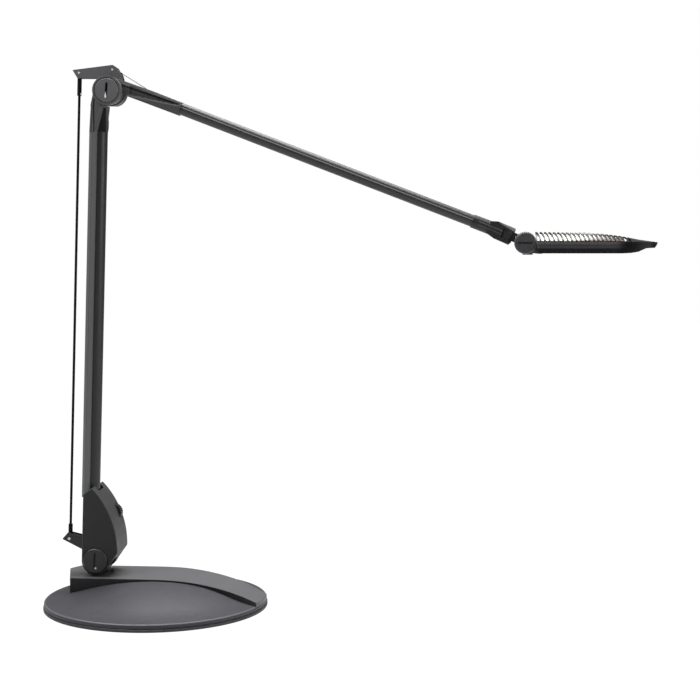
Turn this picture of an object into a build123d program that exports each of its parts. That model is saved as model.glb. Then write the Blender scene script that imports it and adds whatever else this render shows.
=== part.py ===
from build123d import *
from math import cos, radians, sin, sqrt, tan
import os

os.makedirs("parts", exist_ok=True)

# Sizes in mm. The origin is the middle of the base's underside, +X toward the head, +Z up.

# Clearances
RUN = 0.05  # radial, shaft in a running hole
FREE = 0.4  # radial, turning pieces beside each other
SIDE = 0.5  # thickness of the friction washers

# Base
FLANGE_R = 119.0
PLATE_BOTTOM = 0.6
PLATE_TOP = 3.7
PAD_INSET = 6.0
PAD_R = FLANGE_R - PAD_INSET
PAD_DEPTH = 1.0
FLANGE_LEDGE = 0.8
DOME_R = FLANGE_R - FLANGE_LEDGE
DOME_CHAMFER = 1.0
DOME_EDGE_R = DOME_R - DOME_CHAMFER
DOME_EDGE_Z = 8.5
DOME_FOOT_Z = 4.2
GROOVE_DEPTH = 1.6
DOME_TOP = 25.0
DOME_ARC_R = 301.7
SHOULDER_R = 80.0
DOME_WALL = 2.5
WEIGHT_GAP = 0.8
BASE_SCREW_CIRCLE_R = 60.0
BASE_SCREW_R = 2.4
BASE_SCREW_HEAD_R = 4.6
BASE_SCREW_HEAD = 1.2
BASE_SCREW_END = 13.0

# Crest on the base
CREST_TOP = 27.0
CREST_FLAT_END = -10.0
CREST_TAIL_X = DOME_R
CREST_TAIL_Z = 11.3
CREST_LEFT_NEAR = 23.4 - DOME_R
CREST_LEFT_FAR = 5.6 - DOME_R
CREST_NEAR_Y = 1.0
CREST_BEND_X = DOME_R - 108.0
CREST_TAIL_NEAR = DOME_R - 5.0
CREST_FAR_Y = 67.0
CREST_CORNER_R = 12.0
CREST_TAIL_FAR_Y = 12.0
INLET_X = -40.0
INLET_Z = 21.8
INLET_R = 4.2
INLET_DEPTH = 14.0
INLET_WALL = 1.0
INLET_PIN_R = 0.8

# Arms
ARM_Y = 33.5
PIVOT_X = 49.9 - FLANGE_R
PIVOT_Z = 44.1
LOWER_LENGTH = 505.16
LOWER_LEAN = 1.927
UPPER_LENGTH = 471.5
UPPER_DROP = 20.06
LINK_X = -33.7
LINK_Z = 20.2

# Swivel foot and post
STEM_R = 7.0
STEM_BOTTOM = 4.2
FOOT_R = 15.0
FOOT_THICK = 1.6
POST_HALF = 6.7
POST_R = 11.0
POST_WIDTH = 19.0
SEAT_Z = 8.6
SEAT_R = 14.5
SWIVEL_WASHER_R = 12.8
SWIVEL_WASHER = 1.2
NUT_R = 12.0
NUT_POCKET_R = 17.0
BRACKET_INNER = 3.2
BRACKET_PLATE = 1.6
LINK_PIN_R = 1.0

# Housing at the foot of the lower arm
HOUSING_HALF = 24.0
HOUSING_WALL = 2.5
HOUSING_R = 15.0
HOUSING_EDGE = 0.7
HOUSING_SLOT_HALF = 10.3
SLOT_TOP = 90.0
CAP_R = 13.6
CAP_SEAT = 2.8
CAP_PROUD = 1.6
COIN_SLOT = 2.2
COIN_SLOT_DEPTH = 1.8
HUB_R = 8.0
AXLE_R = 4.0
AXLE_BORE_R = 2.5
AXLE_BORE_DEPTH = 18.0
CHEEK = 2.5
CHEEK_R = 10.5
SHELL_SCREW_R = 1.4
SHELL_SCREW_HEAD_R = 2.6
SHELL_SCREW_HEAD = 1.2
SHELL_BOSS_R = 3.0

# Dimmer
WHEEL_X = 9.2
WHEEL_Z = 47.0
WHEEL_R = 10.0
WHEEL_HALF = 4.4
WHEEL_PLACE = -15.0
WHEEL_SHAFT_R = 1.2
WHEEL_NOTCHES = 24

# Lower tube
LOWER_TUBE_X = -12.4
LOWER_TUBE_R = 9.9
LOWER_TUBE_WALL = 1.4
LOWER_TUBE_START = 66.0
FORK_DROP = 43.5
SPIGOT = 24.0
LOWER_SPRING_R = 7.4
LOWER_SPRING_WALL = 2.2
LOWER_SPRING_LENGTH = 180.0

# Link rod
ROD_R = 1.4
ROD_EYE_R = 2.9
ROD_EYE_HALF = 2.6
ROD_END_R = 2.35
LOWER_END = 16.0
UPPER_END = 24.0
SLEEVE_LAP = 4.0

# Elbow
CRANK_HALF = 4.1
CRANK_PLATE = 1.4
EAR_INNER = CRANK_HALF + SIDE
EAR_OUTER = 10.7
FORK_INNER = EAR_OUTER + SIDE
FORK_OUTER = 17.0
RING_OUTER = 19.2
RING_R = 15.5
ELBOW_CAP_R = 13.0
ELBOW_FAR_R = 14.5
ELBOW_FAR = 2.2
ELBOW_R = 13.0
EAR_R = 14.5
FORK_LEFT = -17.7
FORK_RIGHT = 0.2
RIDGE_PROUD = 0.7
FORK_NEAR_LEFT = 14.0

# Upper arm
TUBE_TURN = 1.033
TUBE_HEIGHT = 10.2
UPPER_TUBE_R = 6.35
UPPER_TUBE_WALL = 1.0
UPPER_TUBE_START = 60.0
CONNECTOR_END = 78.0
CONNECTOR_TIP_HALF = 7.6
CONNECTOR_SLOT_END = 40.0
FLANK_START = 18.0
POCKET_DEPTH = 1.6
WIRE_GROOVE = 1.2
TUBE_GROOVE = 0.5
WIRE_R = 0.4
WIRE_BEND_R = 60.0
SPRING_START = 150.0
SPRING_END = 330.0
UPPER_SPRING_WALL = 1.7
GUIDE_THICK = 6.0

# Fork at the end of the upper arm, and the neck
SHROUD_BACK = -60.0
SHROUD_MID = -42.0
SHROUD_R = 7.2
SHROUD_HALF = 8.0
YAW_X = -22.0
NECK_TOP = 6.1
NECK_BOTTOM = -3.5
NECK_R = 7.7
NECK_PIN_R = 2.0
BARREL_R = 11.0
NECK_HALF = 4.0
HEAD_EAR_OUTER = 8.3
KNOB_FACE = 12.0
KNOB_R = 11.1
KNOB_WASHER = 0.3
FAR_TILT_CAP = 2.4
TILT_AXLE_R = 3.0
TILT_BORE_R = 1.6

# Lamp head, seen from above an ellipse cut off at the root
HEAD_ROOT = 12.1
HEAD_MID = 35.0
HEAD_LENGTH = 102.6
HEAD_HALF = 42.0
RAIL_TOP = 0.9
RAIL_LINE = -1.7
TRAY_BOTTOM = -10.9
TRAY_WALL = 2.0
RAIL_WIDTH = 6.0
WINDOW_INSET = 9.0
WINDOW_END = 99.0
HEAD_SCREW_X = 14.6
HEAD_SCREW_Y = 28.0
HEAD_SCREW_R = 1.2
HEAD_BOSS_R = 2.6
RIB_COUNT = 21
RIB_FIRST = 15.0
RIB_LAST = 106.4
RIB_WIDTH = 1.3
RIB_BOW = 3.6
RIB_THICK = 1.5
GRILLE_FOOT = 0.8
REFLECTOR_GAP = 0.9
REFLECTOR_THICK = 1.2
BOARD_THICK = 1.6
DIFFUSER_THICK = 1.6

MIN_Z = (Align.CENTER, Align.CENTER, Align.MIN)

elbow_x = PIVOT_X + LOWER_LENGTH * sin(radians(LOWER_LEAN))
elbow_z = PIVOT_Z + LOWER_LENGTH * cos(radians(LOWER_LEAN))
head_x = elbow_x + UPPER_LENGTH * cos(radians(UPPER_DROP))
head_z = elbow_z - UPPER_LENGTH * sin(radians(UPPER_DROP))


def side(x, z, turn=0.0):
    """Upright plane in the arm's middle, facing the near side, its x turned down by an angle."""
    forward = (cos(radians(turn)), 0, -sin(radians(turn)))
    return Plane(origin=(x, ARM_Y, z), x_dir=forward, z_dir=(0, -1, 0))


def upward(plane, x, z):
    """Plane at a point of a side plane, its normal along the side plane's y."""
    return Plane(origin=plane.from_local_coords(Vector(x, z, 0)), x_dir=plane.x_dir, z_dir=plane.y_dir)


def forward(plane, x, z):
    """Plane at a point of a side plane, its normal along the side plane's x."""
    return Plane(origin=plane.from_local_coords(Vector(x, z, 0)), x_dir=-plane.z_dir, z_dir=plane.x_dir)


def drum(plane, x, z, radius, start, end, mode=Mode.ADD):
    """Round piece across the arm, between two distances from the arm's middle."""
    with Locations(plane.location * Location((x, z, start))):
        Cylinder(radius, end - start, align=MIN_Z, mode=mode)


def rod(plane, radius, start, end, mode=Mode.ADD):
    """Round piece along a plane's normal, between two heights."""
    with Locations(plane.location * Location((0, 0, start))):
        Cylinder(radius, end - start, align=MIN_Z, mode=mode)


foot_side = side(PIVOT_X, PIVOT_Z)
lower = side(PIVOT_X, PIVOT_Z, LOWER_LEAN)
lower_top = side(elbow_x, elbow_z, LOWER_LEAN)
elbow_side = side(elbow_x, elbow_z)
upper = side(elbow_x, elbow_z, UPPER_DROP)
tube_side = side(elbow_x, elbow_z, UPPER_DROP + TUBE_TURN)
tip = side(head_x, head_z, UPPER_DROP + TUBE_TURN)
head = side(head_x, head_z)
tip_shift = tube_side.to_local_coords(Vector(head_x, ARM_Y, head_z))
axis_z = TUBE_HEIGHT - tip_shift.Y
swivel = Plane(origin=(PIVOT_X, ARM_Y, 0))
tube_line = forward(tube_side, 0, TUBE_HEIGHT)
tube_up = upward(lower, LOWER_TUBE_X, 0)
tube_top = LOWER_LENGTH - FORK_DROP

# ---------------------------------------------------------------- base

shoulder_z = DOME_TOP - DOME_ARC_R + sqrt(DOME_ARC_R**2 - SHOULDER_R**2)
half_shoulder_z = DOME_TOP - DOME_ARC_R + sqrt(DOME_ARC_R**2 - SHOULDER_R**2 / 4)


def dome_line(drop, end_r, end_z, foot_z):
    """Half of the dome's outline, lowered by an amount, closed down to its foot and the axis."""
    crown = ThreePointArc(
        (0, DOME_TOP - drop), (SHOULDER_R / 2, half_shoulder_z - drop), (SHOULDER_R, shoulder_z - drop)
    )
    skirt = TangentArc(crown @ 1, (end_r, end_z), tangent=crown % 1)
    Polyline(skirt @ 1, (end_r, foot_z), (0, foot_z), (0, DOME_TOP - drop))


with BuildPart() as base_plate:
    with Locations((0, 0, PLATE_BOTTOM)):
        Cylinder(FLANGE_R, PLATE_TOP - PLATE_BOTTOM, align=MIN_Z)
        Cylinder(PAD_R, PAD_DEPTH, align=MIN_Z, mode=Mode.SUBTRACT)
    with Locations((0, 0, PLATE_BOTTOM + PAD_DEPTH)):
        with PolarLocations(BASE_SCREW_CIRCLE_R, 4, start_angle=20):
            Cylinder(BASE_SCREW_HEAD_R + FREE, BASE_SCREW_HEAD, align=MIN_Z, mode=Mode.SUBTRACT)
            Cylinder(BASE_SCREW_R + FREE, PLATE_TOP, align=MIN_Z, mode=Mode.SUBTRACT)
    fillet(base_plate.edges().group_by(Axis.Z)[-1].sort_by(SortBy.RADIUS)[-1], (PLATE_TOP - PLATE_BOTTOM) / 3)
base_plate.part.label = "base_plate"
export_step(base_plate.part, "parts/base_plate.step")

with BuildPart() as base_pad:
    Cylinder(PAD_R - RUN, PLATE_BOTTOM + PAD_DEPTH, align=MIN_Z)
base_pad.part.label = "base_pad"
export_step(base_pad.part, "parts/base_pad.step")

with BuildPart() as base_screws:
    with Locations((0, 0, PLATE_BOTTOM + PAD_DEPTH)):
        with PolarLocations(BASE_SCREW_CIRCLE_R, 4, start_angle=20):
            Cylinder(BASE_SCREW_HEAD_R, BASE_SCREW_HEAD, align=MIN_Z)
            Cylinder(BASE_SCREW_R, BASE_SCREW_END - PLATE_BOTTOM - PAD_DEPTH, align=MIN_Z)
            Box(COIN_SLOT / 2, 2 * BASE_SCREW_HEAD_R, BASE_SCREW_HEAD / 2, align=MIN_Z, mode=Mode.SUBTRACT)
base_screws.part.label = "base_screws"
export_step(base_screws.part, "parts/base_screws.step")

weight_edge_r = DOME_EDGE_R - DOME_WALL - WEIGHT_GAP - GROOVE_DEPTH
with BuildPart() as base_weight:
    with Locations((0, 0, PLATE_TOP)):
        Cylinder(weight_edge_r, DOME_EDGE_Z - DOME_WALL - WEIGHT_GAP - PLATE_TOP, align=MIN_Z)
        Cylinder(SHOULDER_R, shoulder_z - DOME_WALL - WEIGHT_GAP - PLATE_TOP, align=MIN_Z)
    rod(swivel, NUT_POCKET_R, 0, DOME_TOP, mode=Mode.SUBTRACT)
    with PolarLocations(BASE_SCREW_CIRCLE_R, 4, start_angle=20):
        Cylinder(BASE_SCREW_R + RUN, 2 * BASE_SCREW_END, mode=Mode.SUBTRACT)
base_weight.part.label = "base_weight"
export_step(base_weight.part, "parts/base_weight.step")

with BuildPart() as dome_space:
    with BuildSketch(Plane.XZ):
        with BuildLine():
            dome_line(DOME_WALL, DOME_EDGE_R - DOME_WALL - GROOVE_DEPTH, DOME_EDGE_Z - DOME_WALL, PLATE_TOP)
        make_face()
    revolve(axis=Axis.Z)
    rod(swivel, SEAT_R, SEAT_Z, DOME_TOP, mode=Mode.SUBTRACT)

with BuildPart() as dome_body:
    with BuildSketch(Plane.XZ):
        with BuildLine():
            dome_line(0, DOME_EDGE_R, DOME_EDGE_Z, PLATE_TOP)
        make_face()
        with BuildLine():
            Polyline(
                (DOME_EDGE_R, DOME_EDGE_Z),
                (DOME_R, DOME_EDGE_Z - DOME_R + DOME_EDGE_R),
                (DOME_R, DOME_FOOT_Z),
                (DOME_R - GROOVE_DEPTH, DOME_FOOT_Z),
                (DOME_R - GROOVE_DEPTH, PLATE_TOP),
                (0, PLATE_TOP),
                (0, DOME_EDGE_Z),
                close=True,
            )
        make_face()
    revolve(axis=Axis.Z)

with BuildPart() as base_dome:
    add(dome_body.part)
    with BuildSketch(Plane.XY.offset(PLATE_TOP)):
        Circle(FLANGE_R)
        Circle(DOME_R - GROOVE_DEPTH, mode=Mode.SUBTRACT)
    extrude(amount=DOME_FOOT_Z - PLATE_TOP, mode=Mode.SUBTRACT)
    add(dome_space.part, mode=Mode.SUBTRACT)
    rod(swivel, STEM_R + RUN, 0, DOME_TOP, mode=Mode.SUBTRACT)
base_dome.part.label = "base_dome"
export_step(base_dome.part, "parts/base_dome.step")

tail_y = -sqrt(DOME_R**2 - CREST_TAIL_NEAR**2)
crest_far_start = (12.0, CREST_FAR_Y)
crest_far_end = (sqrt(DOME_R**2 - CREST_TAIL_FAR_Y**2), CREST_TAIL_FAR_Y)
with BuildPart() as crest:
    with BuildSketch(Plane.XY.offset(DOME_FOOT_Z)) as crest_plan:
        with BuildLine():
            Line((CREST_LEFT_FAR, CREST_FAR_Y), (CREST_LEFT_NEAR, CREST_NEAR_Y))
            Line((CREST_LEFT_NEAR, CREST_NEAR_Y), (CREST_BEND_X, CREST_NEAR_Y))
            TangentArc((CREST_BEND_X, CREST_NEAR_Y), (CREST_TAIL_NEAR, tail_y), tangent=(1, 0))
            ThreePointArc((CREST_TAIL_NEAR, tail_y), (DOME_R, 0), crest_far_end)
            ThreePointArc(crest_far_end, (65, 52.5), crest_far_start)
            Line(crest_far_start, (CREST_LEFT_FAR, CREST_FAR_Y))
        make_face()
        fillet(crest_plan.vertices().sort_by(Axis.X)[0], CREST_CORNER_R)
        Circle(DOME_R, mode=Mode.INTERSECT)
    extrude(amount=CREST_TOP)
    with BuildSketch(Plane.XZ):
        with BuildLine():
            Polyline(
                (CREST_TAIL_X, CREST_TAIL_Z),
                (CREST_TAIL_X, 0),
                (-CREST_TAIL_X, 0),
                (-CREST_TAIL_X, CREST_TOP),
                (CREST_FLAT_END, CREST_TOP),
            )
            TangentArc((CREST_FLAT_END, CREST_TOP), (CREST_TAIL_X, CREST_TAIL_Z), tangent=(1, 0))
        make_face()
    extrude(amount=FLANGE_R, both=True, mode=Mode.INTERSECT)
    add(dome_body.part, mode=Mode.SUBTRACT)
    rod(swivel, STEM_R + RUN, 0, CREST_TOP, mode=Mode.SUBTRACT)
    with Locations(Plane(origin=(INLET_X, CREST_FAR_Y, INLET_Z), z_dir=(0, -1, 0))):
        Cylinder(INLET_R + RUN, INLET_DEPTH, align=MIN_Z, mode=Mode.SUBTRACT)
crest.part.label = "crest"
export_step(crest.part, "parts/crest.step")

with BuildPart() as power_inlet:
    with Locations(Plane(origin=(INLET_X, CREST_FAR_Y, INLET_Z), z_dir=(0, -1, 0))):
        Cylinder(INLET_R, INLET_DEPTH, align=MIN_Z)
        Cylinder(INLET_R - INLET_WALL, INLET_DEPTH - 2 * INLET_WALL, align=MIN_Z, mode=Mode.SUBTRACT)
    with Locations(Plane(origin=(INLET_X, CREST_FAR_Y - INLET_WALL, INLET_Z), z_dir=(0, -1, 0))):
        Cylinder(INLET_PIN_R, INLET_DEPTH - 2 * INLET_WALL, align=MIN_Z)
power_inlet.part.label = "power_inlet"
export_step(power_inlet.part, "parts/power_inlet.step")

# ---------------------------------------------------------------- turret

foot_z = CREST_TOP - PIVOT_Z
with BuildPart() as turret_post:
    with BuildSketch(foot_side.offset(-POST_HALF)):
        Circle(POST_R)
        with Locations((0, foot_z)):
            Rectangle(POST_WIDTH, -foot_z, align=(Align.CENTER, Align.MIN))
    extrude(amount=2 * POST_HALF)
    rod(swivel, FOOT_R, CREST_TOP, CREST_TOP + FOOT_THICK)
    rod(swivel, STEM_R, STEM_BOTTOM, CREST_TOP)
    drum(foot_side, 0, 0, AXLE_R + RUN, -POST_HALF, POST_HALF, mode=Mode.SUBTRACT)
turret_post.part.label = "turret_post"
export_step(turret_post.part, "parts/turret_post.step")

with BuildPart() as swivel_washer:
    rod(swivel, SWIVEL_WASHER_R, SEAT_Z - SWIVEL_WASHER, SEAT_Z)
    rod(swivel, STEM_R + RUN, SEAT_Z - SWIVEL_WASHER, SEAT_Z, mode=Mode.SUBTRACT)
swivel_washer.part.label = "swivel_washer"
export_step(swivel_washer.part, "parts/swivel_washer.step")

with BuildPart() as swivel_nut:
    with BuildSketch(swivel.offset(STEM_BOTTOM)):
        RegularPolygon(NUT_R, 6)
        Circle(STEM_R + RUN, mode=Mode.SUBTRACT)
    extrude(amount=SEAT_Z - SWIVEL_WASHER - STEM_BOTTOM)
swivel_nut.part.label = "swivel_nut"
export_step(swivel_nut.part, "parts/swivel_nut.step")

bracket_outer = BRACKET_INNER + BRACKET_PLATE
with BuildPart() as link_bracket:
    with BuildSketch(foot_side.offset(-bracket_outer)) as bracket_shape:
        with BuildLine():
            Polyline(
                (LINK_X - 1.3, LINK_Z + 6.9),
                (LINK_X - 7.8, LINK_Z - 0.4),
                (-19.2, 8.6),
                (-19.2, 3.0),
                (-POST_WIDTH / 2, 0),
                (-POST_R, 1.0),
                (-POST_R, 6.0),
                (-12.5, 22.0),
                (-19.0, 23.4),
                close=True,
            )
        make_face()
        fillet(bracket_shape.vertices().sort_by(Axis.X)[:2], SIDE)
    extrude(amount=2 * bracket_outer)
    with BuildSketch(foot_side.offset(-BRACKET_INNER)):
        with Locations((LINK_X, LINK_Z)):
            Rectangle(44, 60)
    extrude(amount=2 * BRACKET_INNER, mode=Mode.SUBTRACT)
    drum(foot_side, LINK_X, LINK_Z, LINK_PIN_R + RUN, -bracket_outer, bracket_outer, mode=Mode.SUBTRACT)
    drum(foot_side, 0, 0, POST_R, -bracket_outer, bracket_outer, mode=Mode.SUBTRACT)
link_bracket.part.label = "link_bracket"
export_step(link_bracket.part, "parts/link_bracket.step")

with BuildPart() as bracket_pin:
    drum(foot_side, LINK_X, LINK_Z, LINK_PIN_R, -bracket_outer - SIDE, bracket_outer + SIDE)
    drum(foot_side, LINK_X, LINK_Z, LINK_PIN_R + SIDE, bracket_outer, bracket_outer + SIDE)
    drum(foot_side, LINK_X, LINK_Z, LINK_PIN_R + SIDE, -bracket_outer - SIDE, -bracket_outer)
bracket_pin.part.label = "bracket_pin"
export_step(bracket_pin.part, "parts/bracket_pin.step")

# ---------------------------------------------------------------- lower arm

cheek_inner = POST_HALF + SIDE
cheek_outer = cheek_inner + CHEEK
cap_back = HOUSING_HALF - CAP_SEAT
cap_face = HOUSING_HALF + CAP_PROUD
inner_half = HOUSING_HALF - HOUSING_WALL


def housing_outline(inset):
    """Outline of the housing, drawn in by an amount."""
    with BuildSketch(Plane.XY, mode=Mode.PRIVATE) as outline:
        with BuildLine():
            front = ThreePointArc((-5.5, 79.5), (14.5, 51.5), (23.9, 12.0))
            Polyline(front @ 1, (23.9, 10), (14.7, -4.1), (12.3, -8.6))
            ThreePointArc((12.3, -8.6), (0, -HOUSING_R), (-HOUSING_R, 0))
            Polyline((-HOUSING_R, 0), (-HOUSING_R, 72.0), front @ 0)
        make_face()
        if inset > 0:
            offset(amount=-inset)
    return outline.sketch


with BuildPart() as housing_near:
    with BuildSketch(lower):
        add(housing_outline(0))
    extrude(amount=HOUSING_HALF - HOUSING_EDGE)
    with BuildSketch(lower.offset(HOUSING_HALF - HOUSING_EDGE)):
        add(housing_outline(0))
    extrude(amount=HOUSING_EDGE, taper=45)
    with BuildSketch(lower):
        add(housing_outline(HOUSING_WALL))
    extrude(amount=inner_half, mode=Mode.SUBTRACT)
    with BuildSketch(lower.offset(cap_back - HOUSING_WALL)):
        Circle(HOUSING_R - SIDE)
    extrude(amount=HOUSING_WALL)
    drum(lower, 0, 0, HUB_R, cheek_outer, cap_back)
    drum(lower, 0, 0, CAP_R + FREE, cap_back, HOUSING_HALF, mode=Mode.SUBTRACT)
    drum(lower, 0, 0, AXLE_R + RUN, 0, HOUSING_HALF, mode=Mode.SUBTRACT)
    drum(lower, 15.0, 25.0, SHELL_BOSS_R, 0, inner_half)
    drum(lower, 15.0, 25.0, SHELL_SCREW_R + RUN, 0, inner_half, mode=Mode.SUBTRACT)
    with BuildSketch(lower):
        with BuildLine():
            Polyline((-60, SLOT_TOP), (-1, SLOT_TOP), (-1, 0), (60, 0), (60, -60), (-60, -60), close=True)
        make_face()
    extrude(amount=HOUSING_SLOT_HALF, mode=Mode.SUBTRACT)
    with BuildSketch(lower.offset(HOUSING_SLOT_HALF)):
        Circle(HUB_R)
        Circle(AXLE_R + RUN, mode=Mode.SUBTRACT)
    extrude(amount=cheek_outer - HOUSING_SLOT_HALF)
housing_near.part.label = "housing_near"
export_step(housing_near.part, "parts/housing_near.step")

wheel_start = WHEEL_PLACE - WHEEL_HALF
wheel_end = WHEEL_PLACE + WHEEL_HALF
with BuildPart() as housing_far:
    mirror(housing_near.part, about=lower)
    drum(lower, WHEEL_X, WHEEL_Z, WHEEL_R + FREE, wheel_start - FREE, wheel_end + FREE, mode=Mode.SUBTRACT)
    drum(lower, 15.0, 25.0, SHELL_SCREW_R + RUN, -HOUSING_HALF, 0, mode=Mode.SUBTRACT)
housing_far.part.label = "housing_far"
export_step(housing_far.part, "parts/housing_far.step")

with BuildPart() as housing_screws:
    drum(lower, 15.0, 25.0, SHELL_SCREW_R, -HOUSING_HALF, inner_half - HOUSING_WALL)
    drum(lower, 15.0, 25.0, SHELL_SCREW_HEAD_R, -HOUSING_HALF - SHELL_SCREW_HEAD, -HOUSING_HALF)
housing_screws.part.label = "housing_screws"
export_step(housing_screws.part, "parts/housing_screws.step")

tube_inner_r = LOWER_TUBE_R - LOWER_TUBE_WALL
with BuildPart() as lower_yoke:
    with BuildSketch(lower.offset(-cheek_outer)):
        with BuildLine():
            Polyline(
                (-CHEEK_R, 0),
                (CHEEK_R, 0),
                (LOWER_TUBE_X + LOWER_TUBE_R, LOWER_TUBE_START - 18),
                (LOWER_TUBE_X + LOWER_TUBE_R, LOWER_TUBE_START),
                (-HOUSING_R, LOWER_TUBE_START),
                (-HOUSING_R, LOWER_TUBE_START - 18),
                (-CHEEK_R, 30),
                close=True,
            )
        make_face()
        Circle(CHEEK_R)
    extrude(amount=2 * cheek_outer)
    with BuildSketch(lower.offset(-cheek_inner)):
        Rectangle(80, 2 * (LOWER_TUBE_START - 9))
    extrude(amount=2 * cheek_inner, mode=Mode.SUBTRACT)
    rod(tube_up, tube_inner_r - RUN, LOWER_TUBE_START, LOWER_TUBE_START + SPIGOT)
    drum(lower, 0, 0, AXLE_R + RUN, -cheek_outer, cheek_outer, mode=Mode.SUBTRACT)
lower_yoke.part.label = "lower_yoke"
export_step(lower_yoke.part, "parts/lower_yoke.step")

with BuildPart() as lower_washers:
    for inner in (POST_HALF, -cheek_inner):
        drum(lower, 0, 0, POST_R - SIDE, inner, inner + SIDE)
        drum(lower, 0, 0, AXLE_R + RUN, inner, inner + SIDE, mode=Mode.SUBTRACT)
lower_washers.part.label = "lower_washers"
export_step(lower_washers.part, "parts/lower_washers.step")

with BuildPart() as lower_axle:
    drum(lower, 0, 0, AXLE_R, -cap_back, cap_back)
    drum(lower, 0, 0, AXLE_BORE_R + RUN, cap_back - AXLE_BORE_DEPTH, cap_back, mode=Mode.SUBTRACT)
lower_axle.part.label = "lower_axle"
export_step(lower_axle.part, "parts/lower_axle.step")

with BuildPart() as lower_cap_near:
    drum(lower, 0, 0, CAP_R, cap_back, cap_face)
    chamfer(lower_cap_near.edges().group_by(Axis.Y)[0], 1.0)
    drum(lower, 0, 0, AXLE_BORE_R, cap_back - AXLE_BORE_DEPTH + SIDE, cap_back)
    with BuildSketch(lower.offset(cap_face)):
        SlotOverall(1.3 * CAP_R, COIN_SLOT, rotation=90)
    extrude(amount=-COIN_SLOT_DEPTH, mode=Mode.SUBTRACT)
lower_cap_near.part.label = "lower_cap_near"
export_step(lower_cap_near.part, "parts/lower_cap_near.step")

with BuildPart() as lower_cap_far:
    drum(lower, 0, 0, CAP_R, -cap_face, -cap_back)
    chamfer(lower_cap_far.edges().group_by(Axis.Y)[-1], 1.0)
    with BuildSketch(lower.offset(-cap_face)):
        SlotOverall(1.3 * CAP_R, COIN_SLOT, rotation=90)
    extrude(amount=COIN_SLOT_DEPTH, mode=Mode.SUBTRACT)
lower_cap_far.part.label = "lower_cap_far"
export_step(lower_cap_far.part, "parts/lower_cap_far.step")

with BuildPart() as dimmer_wheel:
    drum(lower, WHEEL_X, WHEEL_Z, WHEEL_R, wheel_start, wheel_end)
    with Locations(lower.location * Location((WHEEL_X, WHEEL_Z, wheel_start))):
        with PolarLocations(WHEEL_R, WHEEL_NOTCHES):
            Cylinder(SIDE, 2 * WHEEL_HALF, align=MIN_Z, mode=Mode.SUBTRACT)
    drum(lower, WHEEL_X, WHEEL_Z, WHEEL_SHAFT_R + RUN, wheel_start, wheel_end, mode=Mode.SUBTRACT)
dimmer_wheel.part.label = "dimmer_wheel"
export_step(dimmer_wheel.part, "parts/dimmer_wheel.step")

with BuildPart() as dimmer_board:
    drum(lower, WHEEL_X, WHEEL_Z, WHEEL_SHAFT_R, -inner_half, wheel_end)
    with BuildSketch(lower.offset(-inner_half)):
        with Locations((WHEEL_X, WHEEL_Z)):
            Rectangle(WHEEL_R + SIDE, 2 * WHEEL_R, align=(Align.MAX, Align.MAX))
            Circle(2 * WHEEL_SHAFT_R)
    extrude(amount=BOARD_THICK)
dimmer_board.part.label = "dimmer_board"
export_step(dimmer_board.part, "parts/dimmer_board.step")

with BuildPart() as lower_tube:
    rod(tube_up, LOWER_TUBE_R, LOWER_TUBE_START, tube_top)
    rod(tube_up, tube_inner_r, LOWER_TUBE_START, tube_top, mode=Mode.SUBTRACT)
    for turn in (-115, -81, 81, 115):
        with Locations(tube_up.location * Location((0, 0, 0), (0, 0, turn))):
            with Locations((LOWER_TUBE_R, 0, LOWER_TUBE_START)):
                Box(TUBE_GROOVE, 2 * TUBE_GROOVE, tube_top, align=MIN_Z, mode=Mode.SUBTRACT)
lower_tube.part.label = "lower_tube"
export_step(lower_tube.part, "parts/lower_tube.step")

spring_foot = LOWER_TUBE_START + SPIGOT
with BuildPart() as lower_spring:
    rod(tube_up, LOWER_SPRING_R, spring_foot, spring_foot + LOWER_SPRING_LENGTH)
    rod(
        tube_up,
        LOWER_SPRING_R - LOWER_SPRING_WALL,
        spring_foot,
        spring_foot + LOWER_SPRING_LENGTH,
        mode=Mode.SUBTRACT,
    )
lower_spring.part.label = "lower_spring"
export_step(lower_spring.part, "parts/lower_spring.step")

ring_seat = RING_OUTER - CAP_SEAT
fork_base = 2 * LOWER_TUBE_R
with BuildPart() as fork_ridge:
    with BuildSketch(upward(lower_top, LOWER_TUBE_X, -FORK_DROP)):
        RectangleRounded(fork_base, fork_base + 2 * RIDGE_PROUD, LOWER_TUBE_R - 0.1)
    with BuildSketch(upward(lower_top, (FORK_LEFT + FORK_RIGHT) / 2, -RING_R - 1.5)):
        RectangleRounded(FORK_RIGHT - FORK_LEFT, 2 * (FORK_OUTER + RIDGE_PROUD), 3.0)
    loft()
    with BuildSketch(lower_top):
        with BuildLine():
            Polyline((-8.0, -RING_R), (-4.5, -RING_R), (-13.5, -FORK_DROP + 4), (-15.0, -FORK_DROP + 4), close=True)
        make_face()
        with BuildLine():
            Polyline(
                (FORK_LEFT, -RING_R), (FORK_LEFT + 2.0, -RING_R), (-19.0, -FORK_DROP), (-21.5, -FORK_DROP), close=True
            )
        make_face()
    extrude(amount=2 * FORK_OUTER, mode=Mode.INTERSECT)

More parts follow.
